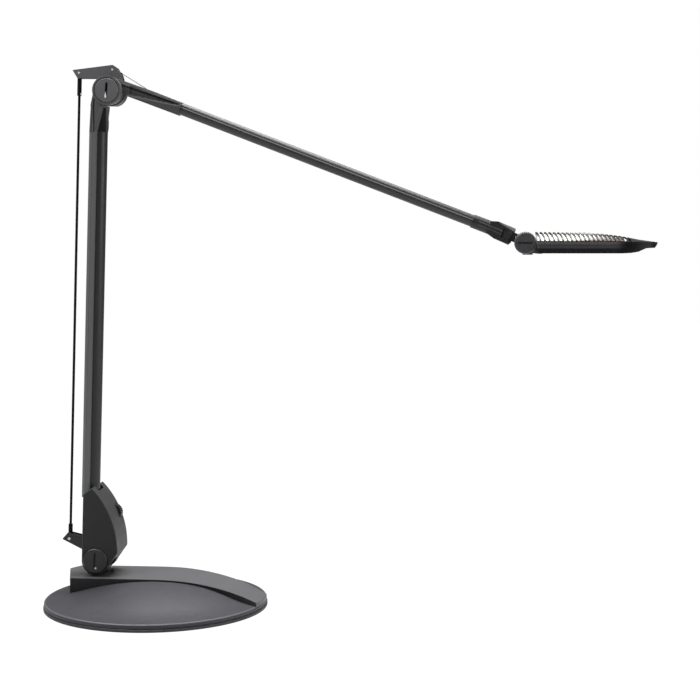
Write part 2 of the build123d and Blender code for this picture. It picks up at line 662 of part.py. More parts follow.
with BuildPart() as elbow_fork:
    with BuildSketch(upward(lower_top, LOWER_TUBE_X, -FORK_DROP)):
        RectangleRounded(fork_base, fork_base, LOWER_TUBE_R - 0.1)
    with BuildSketch(upward(lower_top, (FORK_LEFT + FORK_RIGHT) / 2, -RING_R - 1.5)):
        RectangleRounded(FORK_RIGHT - FORK_LEFT, 2 * FORK_OUTER, 3.0)
    loft()
    with BuildSketch(lower_top.offset(-FORK_OUTER)):
        with BuildLine():
            Polyline(
                (FORK_LEFT, -RING_R - 1.5),
                (FORK_RIGHT, -RING_R - 1.5),
                (FORK_RIGHT + 3.0, 0),
                (-ELBOW_FAR_R, 0),
                close=True,
            )
        make_face()
        Circle(ELBOW_FAR_R)
    extrude(amount=2 * FORK_OUTER)
    add(fork_ridge.part)
    with BuildSketch(lower_top.offset(-FORK_OUTER - 1)):
        with BuildLine():
            Polyline(
                (LOWER_TUBE_X + LOWER_TUBE_R, -FORK_DROP),
                (-7.5, -ELBOW_FAR_R + 0.5),
                (2 * RING_R, -ELBOW_FAR_R + 0.5),
                (2 * RING_R, -FORK_DROP),
                close=True,
            )
        make_face()
    extrude(amount=2 * FORK_OUTER + 1 - FORK_NEAR_LEFT, mode=Mode.SUBTRACT)
    drum(lower_top, 0, 0, RING_R, FORK_INNER, RING_OUTER)
    drum(lower_top, 0, 0, RING_R + 1, -FORK_INNER, FORK_INNER, mode=Mode.SUBTRACT)
    with BuildSketch(lower_top.offset(-FORK_INNER)):
        Rectangle(4 * RING_R, 2 * RING_R, align=(Align.CENTER, Align.MIN))
    extrude(amount=2 * FORK_INNER, mode=Mode.SUBTRACT)
    drum(lower_top, 0, 0, ELBOW_CAP_R + FREE, ring_seat, RING_OUTER, mode=Mode.SUBTRACT)
    drum(lower_top, 0, 0, AXLE_R + RUN, -RING_OUTER, RING_OUTER, mode=Mode.SUBTRACT)
    rod(tube_up, tube_inner_r - RUN, tube_top - SPIGOT / 2, tube_top + 1)
elbow_fork.part.label = "elbow_fork"
export_step(elbow_fork.part, "parts/elbow_fork.step")

with BuildPart() as elbow_axle:
    drum(lower_top, 0, 0, AXLE_R, -FORK_OUTER, ring_seat)
    drum(lower_top, 0, 0, AXLE_BORE_R + RUN, ring_seat - AXLE_BORE_DEPTH, ring_seat, mode=Mode.SUBTRACT)
elbow_axle.part.label = "elbow_axle"
export_step(elbow_axle.part, "parts/elbow_axle.step")

with BuildPart() as elbow_cap_near:
    drum(lower_top, 0, 0, ELBOW_CAP_R, ring_seat, RING_OUTER + SIDE)
    chamfer(elbow_cap_near.edges().group_by(Axis.Y)[0], 1.0)
    drum(lower_top, 0, 0, AXLE_BORE_R, ring_seat - AXLE_BORE_DEPTH + SIDE, ring_seat)
    with BuildSketch(lower_top.offset(RING_OUTER + SIDE)):
        SlotOverall(1.3 * ELBOW_CAP_R, COIN_SLOT, rotation=90)
    extrude(amount=-COIN_SLOT_DEPTH, mode=Mode.SUBTRACT)
elbow_cap_near.part.label = "elbow_cap_near"
export_step(elbow_cap_near.part, "parts/elbow_cap_near.step")

with BuildPart() as elbow_cap_far:
    drum(lower_top, 0, 0, ELBOW_CAP_R, -FORK_OUTER - ELBOW_FAR, -FORK_OUTER)
    chamfer(elbow_cap_far.edges().group_by(Axis.Y)[-1], 1.0)
    with BuildSketch(lower_top.offset(-FORK_OUTER - ELBOW_FAR)):
        SlotOverall(1.3 * ELBOW_CAP_R, COIN_SLOT, rotation=90)
    extrude(amount=COIN_SLOT_DEPTH / 2, mode=Mode.SUBTRACT)
elbow_cap_far.part.label = "elbow_cap_far"
export_step(elbow_cap_far.part, "parts/elbow_cap_far.step")

# ---------------------------------------------------------------- link rod

link_foot = foot_side.from_local_coords(Vector(LINK_X, LINK_Z, 0))
link = side(link_foot.X, link_foot.Z, LOWER_LEAN)
link_up = upward(link, 0, 0)

with BuildPart() as link_rod:
    rod(link_up, ROD_R, LOWER_END - SLEEVE_LAP, LOWER_LENGTH - UPPER_END + SLEEVE_LAP)
link_rod.part.label = "link_rod"
export_step(link_rod.part, "parts/link_rod.step")

with BuildPart() as rod_ends:
    rod(link_up, ROD_END_R, 0, LOWER_END)
    chamfer(rod_ends.edges().group_by(Axis.Z)[-1], 0.6)
    rod(link_up, ROD_END_R, LOWER_LENGTH - UPPER_END, LOWER_LENGTH)
    drum(link, 0, 0, ROD_EYE_R, -ROD_EYE_HALF, ROD_EYE_HALF)
    drum(link, 0, LOWER_LENGTH, ROD_EYE_R, -ROD_EYE_HALF, ROD_EYE_HALF)
    drum(link, 0, 0, LINK_PIN_R + RUN, -ROD_EYE_HALF, ROD_EYE_HALF, mode=Mode.SUBTRACT)
    drum(link, 0, LOWER_LENGTH, LINK_PIN_R + FREE, -ROD_EYE_HALF, ROD_EYE_HALF, mode=Mode.SUBTRACT)
    rod(
        link_up,
        ROD_R + RUN,
        LOWER_END - SLEEVE_LAP,
        LOWER_LENGTH - UPPER_END + SLEEVE_LAP,
        mode=Mode.SUBTRACT,
    )
rod_ends.part.label = "rod_ends"
export_step(rod_ends.part, "parts/rod_ends.step")

# ---------------------------------------------------------------- crank over the elbow

CRANK_PIN = (2.8, 23.2)
ANCHOR = (11.3, 19.2)
ANCHOR_R = 1.3
web_line = [(-29.0, 22.6), (3.0, 26.4)]
crank_inner = CRANK_HALF - CRANK_PLATE
with BuildPart() as crank_plate:
    with BuildSketch(elbow_side.offset(-CRANK_HALF)) as crank_shape:
        with BuildLine():
            Polyline(
                (LINK_X - 7.0, LINK_Z + 3.1),
                (3.0, 28.3),
                (8.2, 24.9),
                (10.5, 20.3),
                (12.8, 18.0),
                (14.3, 12.7),
                (12.0, 4.0),
                (0, 0),
                (-12.6, 3.0),
                (-13.9, 14.2),
                (LINK_X - 1.6, LINK_Z - 5.8),
                close=True,
            )
        make_face()
        fillet(crank_shape.vertices().sort_by(Axis.X)[:2], SIDE)
        Circle(ELBOW_R)
    extrude(amount=2 * CRANK_HALF)
    with BuildSketch(elbow_side.offset(-crank_inner)):
        with BuildLine():
            Polyline((-60, 60), (-29.0, 60), *web_line, (3.0, 60), (60, 60), (60, -60), (-60, -60), close=True)
        make_face()
    extrude(amount=2 * crank_inner, mode=Mode.SUBTRACT)
    drum(elbow_side, 0, 0, 2 * AXLE_R, -crank_inner, crank_inner)
    drum(elbow_side, 0, 0, AXLE_R + RUN, -CRANK_HALF, CRANK_HALF, mode=Mode.SUBTRACT)
    drum(elbow_side, LINK_X, LINK_Z, LINK_PIN_R + RUN, -CRANK_HALF, CRANK_HALF, mode=Mode.SUBTRACT)
    drum(elbow_side, *CRANK_PIN, LINK_PIN_R + RUN, -CRANK_HALF, CRANK_HALF, mode=Mode.SUBTRACT)
crank_plate.part.label = "crank_plate"
export_step(crank_plate.part, "parts/crank_plate.step")

pin_face = CRANK_HALF + SIDE / 2
with BuildPart() as crank_pins:
    drum(elbow_side, LINK_X, LINK_Z, LINK_PIN_R, -pin_face, pin_face)
    drum(elbow_side, *CRANK_PIN, LINK_PIN_R, -pin_face, pin_face)
crank_pins.part.label = "crank_pins"
export_step(crank_pins.part, "parts/crank_pins.step")

with BuildPart() as wire_anchor:
    drum(elbow_side, *ANCHOR, ANCHOR_R, -crank_inner, crank_inner)
wire_anchor.part.label = "wire_anchor"
export_step(wire_anchor.part, "parts/wire_anchor.step")

# ---------------------------------------------------------------- upper arm

tube_end = tip_shift.X + SHROUD_MID - SLEEVE_LAP
CONNECTOR_SLOT_END = 40.0
WIRE_GROOVE = 1.2
near_flank = Plane(
    origin=upper.from_local_coords(Vector(FLANK_START, 0, EAR_OUTER)),
    x_dir=upper.x_dir * (CONNECTOR_END - FLANK_START) - upper.z_dir * (EAR_OUTER - CONNECTOR_TIP_HALF),
    z_dir=upper.z_dir * (CONNECTOR_END - FLANK_START) + upper.x_dir * (EAR_OUTER - CONNECTOR_TIP_HALF),
)
far_flank = Plane(
    origin=upper.from_local_coords(Vector(FLANK_START, 0, -EAR_OUTER)),
    x_dir=upper.x_dir * (CONNECTOR_END - FLANK_START) + upper.z_dir * (EAR_OUTER - CONNECTOR_TIP_HALF),
    z_dir=upper.z_dir * (CONNECTOR_END - FLANK_START) - upper.x_dir * (EAR_OUTER - CONNECTOR_TIP_HALF),
)
with BuildPart() as upper_connector:
    with BuildSketch(upper.offset(-EAR_OUTER)):
        with BuildLine():
            Polyline(
                (-3.0, 14.2),
                (8.0, 15.6),
                (44.0, 15.9),
                (CONNECTOR_END, 15.0),
                (CONNECTOR_END, 1.2),
                (14.0, 1.8),
                (0, 0),
                close=True,
            )
        make_face()
        Circle(EAR_R)
    extrude(amount=2 * EAR_OUTER)
    with BuildSketch(upward(upper, 0, -2 * ELBOW_R)):
        with BuildLine():
            Polyline(
                (-20, -EAR_OUTER),
                (FLANK_START, -EAR_OUTER),
                (CONNECTOR_END, -CONNECTOR_TIP_HALF),
                (CONNECTOR_END, CONNECTOR_TIP_HALF),
                (FLANK_START, EAR_OUTER),
                (-20, EAR_OUTER),
                close=True,
            )
        make_face()
    extrude(amount=4 * ELBOW_R, mode=Mode.INTERSECT)
    rod(tube_line, UPPER_TUBE_R + SIDE, CONNECTOR_SLOT_END + 4, CONNECTOR_END)
    with BuildSketch(upper.offset(-EAR_INNER)):
        Circle(CONNECTOR_SLOT_END)
    extrude(amount=2 * EAR_INNER, mode=Mode.SUBTRACT)
    with BuildSketch(upper.offset(-WIRE_GROOVE)):
        with Locations((0, 8.0)):
            Rectangle(UPPER_TUBE_START + 2, 60, align=(Align.MIN, Align.MIN))
    extrude(amount=2 * WIRE_GROOVE, mode=Mode.SUBTRACT)
    rod(tube_line, UPPER_TUBE_R + RUN, UPPER_TUBE_START, 2 * CONNECTOR_END, mode=Mode.SUBTRACT)
    drum(upper, 0, 0, AXLE_R + RUN, -EAR_OUTER, EAR_OUTER, mode=Mode.SUBTRACT)
    for flank in (near_flank, far_flank):
        with BuildSketch(flank):
            with BuildLine():
                Polyline((2.0, 13.6), (54.0, 12.4), (52.0, 10.4), (4.0, 4.6), close=True)
            make_face()
        extrude(amount=POCKET_DEPTH, both=True, mode=Mode.SUBTRACT)
upper_connector.part.label = "upper_connector"
export_step(upper_connector.part, "parts/upper_connector.step")

with BuildPart() as elbow_washers:
    for inner in (CRANK_HALF, EAR_OUTER, -EAR_INNER, -FORK_INNER):
        drum(upper, 0, 0, ELBOW_R - SIDE, inner, inner + SIDE)
        drum(upper, 0, 0, AXLE_R + RUN, inner, inner + SIDE, mode=Mode.SUBTRACT)
elbow_washers.part.label = "elbow_washers"
export_step(elbow_washers.part, "parts/elbow_washers.step")

upper_inner_r = UPPER_TUBE_R - UPPER_TUBE_WALL
with BuildPart() as upper_tube:
    rod(tube_line, UPPER_TUBE_R, UPPER_TUBE_START, tube_end)
    rod(tube_line, upper_inner_r, UPPER_TUBE_START, tube_end, mode=Mode.SUBTRACT)
    with BuildSketch(tube_line.offset(UPPER_TUBE_START)):
        with Locations((-UPPER_TUBE_R, 0), (UPPER_TUBE_R, 0)):
            Rectangle(TUBE_GROOVE, 2 * TUBE_GROOVE)
    extrude(amount=UPPER_LENGTH, mode=Mode.SUBTRACT)
upper_tube.part.label = "upper_tube"
export_step(upper_tube.part, "parts/upper_tube.step")

with BuildPart() as wire_guide:
    rod(tube_line, upper_inner_r - RUN, SPRING_START - GUIDE_THICK, SPRING_START)
    rod(tube_line, WIRE_R + FREE, SPRING_START - GUIDE_THICK, SPRING_START, mode=Mode.SUBTRACT)
wire_guide.part.label = "wire_guide"
export_step(wire_guide.part, "parts/wire_guide.step")

with BuildPart() as upper_spring:
    rod(tube_line, upper_inner_r - FREE, SPRING_START, SPRING_END)
    rod(tube_line, upper_inner_r - FREE - UPPER_SPRING_WALL, SPRING_START, SPRING_END, mode=Mode.SUBTRACT)
upper_spring.part.label = "upper_spring"
export_step(upper_spring.part, "parts/upper_spring.step")

with BuildPart() as spring_plug:
    rod(tube_line, upper_inner_r - FREE, SPRING_END, SPRING_END + GUIDE_THICK)
    rod(tube_line, WIRE_R + RUN, SPRING_END, SPRING_END + GUIDE_THICK, mode=Mode.SUBTRACT)
spring_plug.part.label = "spring_plug"
export_step(spring_plug.part, "parts/spring_plug.step")

anchor_point = elbow_side.from_local_coords(Vector(ANCHOR[0] + ANCHOR_R + 2 * RUN, ANCHOR[1], 0))
wire_start = upper.to_local_coords(anchor_point)
wire_bend = upper.to_local_coords(tube_line.from_local_coords(Vector(0, 0, 70.0)))
wire_end = upper.to_local_coords(tube_line.from_local_coords(Vector(0, 0, SPRING_END + GUIDE_THICK)))
with BuildPart() as balance_wire:
    with BuildLine(upper) as wire_line:
        FilletPolyline(
            (wire_start.X, wire_start.Y), (wire_bend.X, wire_bend.Y), (wire_end.X, wire_end.Y), radius=WIRE_BEND_R
        )
    with BuildSketch(Plane(origin=wire_line.line @ 0, z_dir=wire_line.line % 0)):
        Circle(WIRE_R)
    sweep(path=wire_line.line)
balance_wire.part.label = "balance_wire"
export_step(balance_wire.part, "parts/balance_wire.step")

# ---------------------------------------------------------------- fork and neck

yaw = upward(tip, YAW_X, 0)
with BuildPart() as head_fork:
    with BuildSketch(tip.offset(-SHROUD_HALF)) as fork_shape:
        with BuildLine():
            Polyline(
                (SHROUD_MID, -4.9),
                (-32.5, -7.4),
                (-15.9, -8.2),
                (-14.0, -5.0),
                (-13.7, 8.5),
                (-14.7, 10.3),
                (-34.3, 10.9),
                (SHROUD_MID, 8.4),
                close=True,
            )
        make_face()
    extrude(amount=2 * SHROUD_HALF)
    with BuildSketch(yaw.offset(-2 * SHROUD_HALF)):
        Circle(SHROUD_HALF)
        Rectangle(4 * SHROUD_HALF, 2 * SHROUD_HALF, align=(Align.MAX, Align.CENTER))
    extrude(amount=4 * SHROUD_HALF, mode=Mode.INTERSECT)
    rod(forward(tip, 0, axis_z), SHROUD_R, SHROUD_BACK, SHROUD_MID + SLEEVE_LAP)
    with BuildSketch(tip.offset(-SHROUD_HALF)):
        with Locations((YAW_X - NECK_HALF - FREE, NECK_BOTTOM - RUN)):
            Rectangle(60, NECK_TOP - NECK_BOTTOM + 2 * RUN, align=(Align.MIN, Align.MIN))
    extrude(amount=2 * SHROUD_HALF, mode=Mode.SUBTRACT)
    rod(yaw, NECK_R + FREE, NECK_BOTTOM - RUN, NECK_TOP + RUN, mode=Mode.SUBTRACT)
    rod(forward(tip, 0, axis_z), UPPER_TUBE_R + RUN, SHROUD_BACK, SHROUD_MID - SLEEVE_LAP, mode=Mode.SUBTRACT)
    rod(yaw, NECK_PIN_R + RUN, -60, 60, mode=Mode.SUBTRACT)
head_fork.part.label = "head_fork"
export_step(head_fork.part, "parts/head_fork.step")

with BuildPart() as neck_pin:
    rod(yaw, NECK_PIN_R, NECK_BOTTOM - 3.5, NECK_TOP + 3.6)
neck_pin.part.label = "neck_pin"
export_step(neck_pin.part, "parts/neck_pin.step")

with BuildPart() as neck_block:
    rod(yaw, NECK_R, NECK_BOTTOM, NECK_TOP)
    with BuildSketch(tip.offset(-NECK_HALF)):
        with Locations((YAW_X, NECK_BOTTOM)):
            Rectangle(-YAW_X, NECK_TOP - NECK_BOTTOM, align=(Align.MIN, Align.MIN))
    extrude(amount=2 * NECK_HALF)
    drum(tip, 0, 0, BARREL_R - FREE, -NECK_HALF, NECK_HALF)
    drum(tip, 0, 0, TILT_AXLE_R + RUN, -NECK_HALF, NECK_HALF, mode=Mode.SUBTRACT)
    rod(yaw, NECK_PIN_R + RUN, -60, 60, mode=Mode.SUBTRACT)
neck_block.part.label = "neck_block"
export_step(neck_block.part, "parts/neck_block.step")

head_ear_inner = NECK_HALF + KNOB_WASHER
with BuildPart() as tilt_washers:
    for inner in (NECK_HALF, -head_ear_inner):
        drum(tip, 0, 0, BARREL_R - 1, inner, inner + KNOB_WASHER)
        drum(tip, 0, 0, TILT_AXLE_R + RUN, inner, inner + KNOB_WASHER, mode=Mode.SUBTRACT)
tilt_washers.part.label = "tilt_washers"
export_step(tilt_washers.part, "parts/tilt_washers.step")

# ---------------------------------------------------------------- lamp head

flat = Plane(origin=(head_x, ARM_Y, head_z))


def leaf(inset, end=2 * HEAD_LENGTH):
    """Outline of the head seen from above, drawn in by an amount, up to an end."""
    with Locations((HEAD_MID, 0)):
        Ellipse(HEAD_LENGTH - inset, HEAD_HALF - inset)
    with Locations((HEAD_ROOT + inset, 0)):
        Rectangle(
            end - HEAD_ROOT - inset, 2 * HEAD_HALF, align=(Align.MIN, Align.CENTER), mode=Mode.INTERSECT
        )


def half_width(x):
    """Half the head's width at a distance from the tilt axis."""
    return HEAD_HALF * sqrt(1 - ((x - HEAD_MID) / HEAD_LENGTH) ** 2)


ARCH = ((HEAD_ROOT - 2.4, 10.7), (36.0, 10.4), (60.0, 10.2), (78.0, 9.0), (90.0, 7.5), (100.0, 6.2), (108.0, 4.6))
NOSE = ((118.0, 2.6), (128.0, 1.1), (134.0, 0.4))


def arches(stations, shift, sink):
    """Half-elliptic sections over the rail, each drawn in by an amount."""
    for x, height in stations:
        section = Plane(origin=(head_x + x + shift, ARM_Y, head_z + RAIL_TOP), x_dir=(0, 1, 0), z_dir=(1, 0, 0))
        with BuildSketch(section, mode=Mode.PRIVATE) as half:
            Ellipse(half_width(x) - SIDE - sink, height - sink)
            Rectangle(
                2 * HEAD_HALF, 2 * BARREL_R, align=(Align.CENTER, Align.MIN), mode=Mode.INTERSECT
            )
        yield half.sketch


with BuildPart() as head_frame:
    with BuildSketch(flat.offset(RAIL_LINE)):
        leaf(0)
        with BuildSketch(mode=Mode.PRIVATE) as opening:
            leaf(RAIL_WIDTH)
        add(opening.sketch, mode=Mode.SUBTRACT)
    extrude(amount=RAIL_TOP - RAIL_LINE)
    for start in (head_ear_inner, -HEAD_EAR_OUTER):
        with BuildSketch(head.offset(start)):
            Circle(BARREL_R)
            with Locations((0, TRAY_BOTTOM)):
                Rectangle(HEAD_ROOT, RAIL_TOP - TRAY_BOTTOM, align=(Align.MIN, Align.MIN))
            with Locations((-2.3, -12.4)):
                Rectangle(10.1, 6, align=(Align.MIN, Align.MIN))
        extrude(amount=HEAD_EAR_OUTER - head_ear_inner)
    drum(head, 0, 0, TILT_AXLE_R + RUN, -HEAD_EAR_OUTER, HEAD_EAR_OUTER, mode=Mode.SUBTRACT)
    with Locations(*[flat.location * Location((HEAD_SCREW_X, y, 0)) for y in (-HEAD_SCREW_Y, HEAD_SCREW_Y)]):
        Cylinder(HEAD_SCREW_R + RUN, 2 * BARREL_R, mode=Mode.SUBTRACT)
head_frame.part.label = "head_frame"
export_step(head_frame.part, "parts/head_frame.step")

with BuildPart() as head_tray:
    with BuildSketch(flat.offset(TRAY_BOTTOM)):
        leaf(SIDE)
    extrude(amount=RAIL_LINE - TRAY_BOTTOM)
    with BuildSketch(head):
        with BuildLine():
            Polyline(
                (0, TRAY_BOTTOM),
                (98, TRAY_BOTTOM),
                (107.5, -10.5),
                (115.5, -9.2),
                (124.0, -5.6),
                (134.0, -5.1),
                (137.0, RAIL_LINE),
                (150, BARREL_R),
                (0, BARREL_R),
                close=True,
            )
        make_face()
    extrude(amount=2 * HEAD_HALF, both=True, mode=Mode.INTERSECT)
    with BuildSketch(flat.offset(TRAY_BOTTOM + TRAY_WALL)):
        leaf(SIDE + TRAY_WALL, WINDOW_END)
    extrude(amount=HEAD_HALF, mode=Mode.SUBTRACT)
    with BuildSketch(flat.offset(TRAY_BOTTOM)):
        leaf(WINDOW_INSET, WINDOW_END - TRAY_WALL)
    extrude(amount=TRAY_WALL, mode=Mode.SUBTRACT)
    for y in (-HEAD_SCREW_Y, HEAD_SCREW_Y):
        with Locations(flat.location * Location((HEAD_SCREW_X, y, TRAY_BOTTOM))):
            Cylinder(HEAD_BOSS_R, RAIL_LINE - TRAY_BOTTOM, align=MIN_Z)
            Cylinder(HEAD_SCREW_R + RUN, RAIL_LINE - TRAY_BOTTOM, align=MIN_Z, mode=Mode.SUBTRACT)
head_tray.part.label = "head_tray"
export_step(head_tray.part, "parts/head_tray.step")

with BuildPart() as head_screws:
    for y in (-HEAD_SCREW_Y, HEAD_SCREW_Y):
        with Locations(flat.location * Location((HEAD_SCREW_X, y, TRAY_BOTTOM - SIDE))):
            Cylinder(2 * HEAD_SCREW_R, SIDE, align=MIN_Z)
            Cylinder(HEAD_SCREW_R, RAIL_TOP - TRAY_BOTTOM, align=MIN_Z)
head_screws.part.label = "head_screws"
export_step(head_screws.part, "parts/head_screws.step")

rib_pitch = (RIB_LAST - RIB_FIRST) / (RIB_COUNT - 1)
with BuildPart() as rib_grille:
    add(list(arches(ARCH + NOSE, 0, 0)))
    loft(ruled=True)
    add(list(arches(ARCH, -RIB_THICK, RIB_THICK)))
    loft(ruled=True, mode=Mode.SUBTRACT)
    for i in range(-1, RIB_COUNT):
        start = RIB_FIRST + i * rib_pitch + RIB_WIDTH / 2
        end = start + rib_pitch - RIB_WIDTH
        with BuildSketch(flat.offset(RAIL_TOP + GRILLE_FOOT)):
            with BuildLine():
                back = ThreePointArc((start, -HEAD_HALF), (start - RIB_BOW, 0), (start, HEAD_HALF))
                front = ThreePointArc((end, -HEAD_HALF), (end - RIB_BOW, 0), (end, HEAD_HALF))
                Line(back @ 0, front @ 0)
                Line(back @ 1, front @ 1)
            make_face()
        extrude(amount=2 * BARREL_R, mode=Mode.SUBTRACT)
rib_grille.part.label = "rib_grille"
export_step(rib_grille.part, "parts/rib_grille.step")

reflector_sink = RIB_THICK + REFLECTOR_GAP
with BuildPart() as reflector:
    add(list(arches(((HEAD_ROOT, ARCH[0][1]), *ARCH[2:-1]), 0, reflector_sink)))
    loft(ruled=True)
    cup = ((HEAD_ROOT + REFLECTOR_THICK, ARCH[0][1]), *ARCH[2:-1])
    add(list(arches(cup, 0, reflector_sink + REFLECTOR_THICK)))
    loft(ruled=True, mode=Mode.SUBTRACT)
reflector.part.label = "reflector"
export_step(reflector.part, "parts/reflector.step")

board_inset = SIDE + TRAY_WALL + RUN
with BuildPart() as light_board:
    with BuildSketch(flat.offset(RAIL_LINE - BOARD_THICK)):
        leaf(board_inset, WINDOW_END - RUN)
    extrude(amount=BOARD_THICK)
    for y in (-HEAD_SCREW_Y, HEAD_SCREW_Y):
        with Locations(flat.location * Location((HEAD_SCREW_X, y, 0))):
            Cylinder(HEAD_BOSS_R + RUN, 4 * BARREL_R, mode=Mode.SUBTRACT)
light_board.part.label = "light_board"
export_step(light_board.part, "parts/light_board.step")

with BuildPart() as diffuser:
    with BuildSketch(flat.offset(TRAY_BOTTOM + TRAY_WALL)):
        leaf(board_inset, WINDOW_END - RUN)
    extrude(amount=DIFFUSER_THICK)
    for y in (-HEAD_SCREW_Y, HEAD_SCREW_Y):
        with Locations(flat.location * Location((HEAD_SCREW_X, y, 0))):
            Cylinder(HEAD_BOSS_R + RUN, 4 * BARREL_R, mode=Mode.SUBTRACT)
diffuser.part.label = "diffuser"
export_step(diffuser.part, "parts/diffuser.step")

with BuildPart() as tilt_axle:
    drum(head, 0, 0, TILT_AXLE_R, -HEAD_EAR_OUTER, HEAD_EAR_OUTER)
    drum(head, 0, 0, TILT_BORE_R + RUN, 0, HEAD_EAR_OUTER, mode=Mode.SUBTRACT)
tilt_axle.part.label = "tilt_axle"
export_step(tilt_axle.part, "parts/tilt_axle.step")

with BuildPart() as tilt_cap_far:
    drum(head, 0, 0, BARREL_R - 1, -HEAD_EAR_OUTER - FAR_TILT_CAP, -HEAD_EAR_OUTER)
    chamfer(tilt_cap_far.edges().group_by(Axis.Y)[-1], 0.8)
tilt_cap_far.part.label = "tilt_cap_far"
export_step(tilt_cap_far.part, "parts/tilt_cap_far.step")

with BuildPart() as knob_washer:
    drum(head, 0, 0, KNOB_R + SIDE, HEAD_EAR_OUTER, HEAD_EAR_OUTER + KNOB_WASHER)
    drum(head, 0, 0, TILT_AXLE_R, HEAD_EAR_OUTER, HEAD_EAR_OUTER + KNOB_WASHER, mode=Mode.SUBTRACT)
knob_washer.part.label = "knob_washer"
export_step(knob_washer.part, "parts/knob_washer.step")

with BuildPart() as tilt_knob:
    drum(head, 0, 0, KNOB_R, HEAD_EAR_OUTER + KNOB_WASHER, KNOB_FACE)
    chamfer(tilt_knob.edges().group_by(Axis.Y)[0], 0.8)
    drum(head, 0, 0, TILT_BORE_R, SIDE, HEAD_EAR_OUTER + KNOB_WASHER)
    with BuildSketch(head.offset(KNOB_FACE)):
        SlotOverall(1.4 * KNOB_R, COIN_SLOT)
    extrude(amount=-COIN_SLOT_DEPTH, mode=Mode.SUBTRACT)
tilt_knob.part.label = "tilt_knob"
export_step(tilt_knob.part, "parts/tilt_knob.step")
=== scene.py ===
import math
from collections import namedtuple

import bpy
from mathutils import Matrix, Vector


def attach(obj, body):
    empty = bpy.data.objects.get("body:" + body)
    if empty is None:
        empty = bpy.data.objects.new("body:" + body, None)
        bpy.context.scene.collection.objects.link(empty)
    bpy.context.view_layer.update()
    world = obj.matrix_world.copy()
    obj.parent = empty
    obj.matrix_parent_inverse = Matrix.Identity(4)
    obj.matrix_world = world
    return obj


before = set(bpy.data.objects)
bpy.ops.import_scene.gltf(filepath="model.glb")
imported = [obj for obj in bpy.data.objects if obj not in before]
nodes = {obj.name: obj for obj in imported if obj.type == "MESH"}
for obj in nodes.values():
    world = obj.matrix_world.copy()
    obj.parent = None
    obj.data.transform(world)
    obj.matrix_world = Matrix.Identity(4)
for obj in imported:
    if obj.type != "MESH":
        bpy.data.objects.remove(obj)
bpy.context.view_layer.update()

# Pivots at rest in metres, and slopes of the arms in degrees. The corners of the tone patches and the
# outlines of the painted glints are in millimetres along an arm and square to it, counted from one of
# the pivots. All other lengths on the lamp are in metres.

MM = 0.001
ARM_Y = 0.0335
PIVOT = Vector((-0.0691, ARM_Y, 0.0441))
ELBOW = Vector((-0.05211, ARM_Y, 0.54897))
HEAD = Vector((0.39078, ARM_Y, 0.38725))
LEVEL = 0
LEAN = 1.927
DROP = 20.06
TUBE_DROP = 21.093


def spot(origin, turn, along, up, out=0.0):
    """Point in metres from distances in millimetres along and above an arm, out to the near side."""
    c = math.cos(math.radians(turn))
    s = math.sin(math.radians(turn))
    x = origin.x + MM * (along * c + up * s)
    z = origin.z + MM * (up * c - along * s)
    return Vector((x, origin.y - MM * out, z))


def outline(origin, turn, points):
    """Corner points of a patch on an arm, in metres."""
    return [spot(origin, turn, along, up) for along, up in points]


def band(origin, turn, left, right, low, high):
    """Corner points of a straight band on an arm, in metres."""
    return outline(origin, turn, [(left, low), (left, high), (right, high), (right, low)])


# ---------------------------------------------------------------- shader parts

# PLAIN, DULL and MATT are strengths of the gloss. The clouds are a slight unevenness of colour and
# roughness. An edge is rounded by its radius in the shading only.

PLAIN = 0.5
DULL = 0.3
MATT = 0.12
FINE_GRAIN = 0.0006
COARSE_GRAIN = 0.0011
CLOUD_SCALE = 45.0
CLOUD_DETAIL = 4.0
GRAIN_DETAIL = 2.0
ROUGH_SPREAD = 0.05
ROUGH_MIN = 0.02
EDGE_SAMPLES = 4
FACE_FROM = 0.55
FACE_TO = 0.95
DOME_EDGE = 0.1173
DOME_EDGE_HALF = 0.0006

# A patch is a tone laid on both sides of a piece. Most of them imitate light and shade of the photo.
Patch = namedtuple("Patch", "colour gloss corners soft")


def grey(level, blue=0.0):
    """Grey of that strength, a little bluer by the second value."""
    return (level, level, level + blue)


def add(tree, kind, settings, inputs):
    """New shader node with its settings, and with each input set to a value or linked from a socket."""
    made = tree.nodes.new("ShaderNode" + kind)
    for name, value in settings.items():
        setattr(made, name, value)
    for name, value in inputs.items():
        if isinstance(value, bpy.types.NodeSocket):
            tree.links.new(value, made.inputs[name])
        else:
            made.inputs[name].default_value = value
    return made


def blend_colour(tree, under, over, mask):
    """Colour socket that shows the second colour where the mask is 1."""
    inputs = {"A": under, "B": (*over, 1), "Factor": mask}
    return add(tree, "Mix", {"data_type": "RGBA"}, inputs).outputs["Result"]


def smooth_step(tree, value, low, high):
    """Mask that rises softly from 0 at the low value to 1 at the high one."""
    inputs = {"From Min": low, "From Max": high, "Value": value}
    return add(tree, "MapRange", {"interpolation_type": "SMOOTHSTEP"}, inputs).outputs["Result"]


def depth_inside(tree, point, start, end, middle):
    """Distance of a point to one edge of a patch, above 0 on the side of the patch's middle."""
    edge = end - start
    inward = Vector((-edge.z, 0, edge.x)).normalized()
    if inward.dot(middle - start) < 0:
        inward.negate()
    dot = add(tree, "VectorMath", {"operation": "DOT_PRODUCT"}, {0: point, 1: inward})
    inputs = {0: dot.outputs["Value"], 1: inward.dot(start)}
    return add(tree, "Math", {"operation": "SUBTRACT"}, inputs).outputs["Value"]


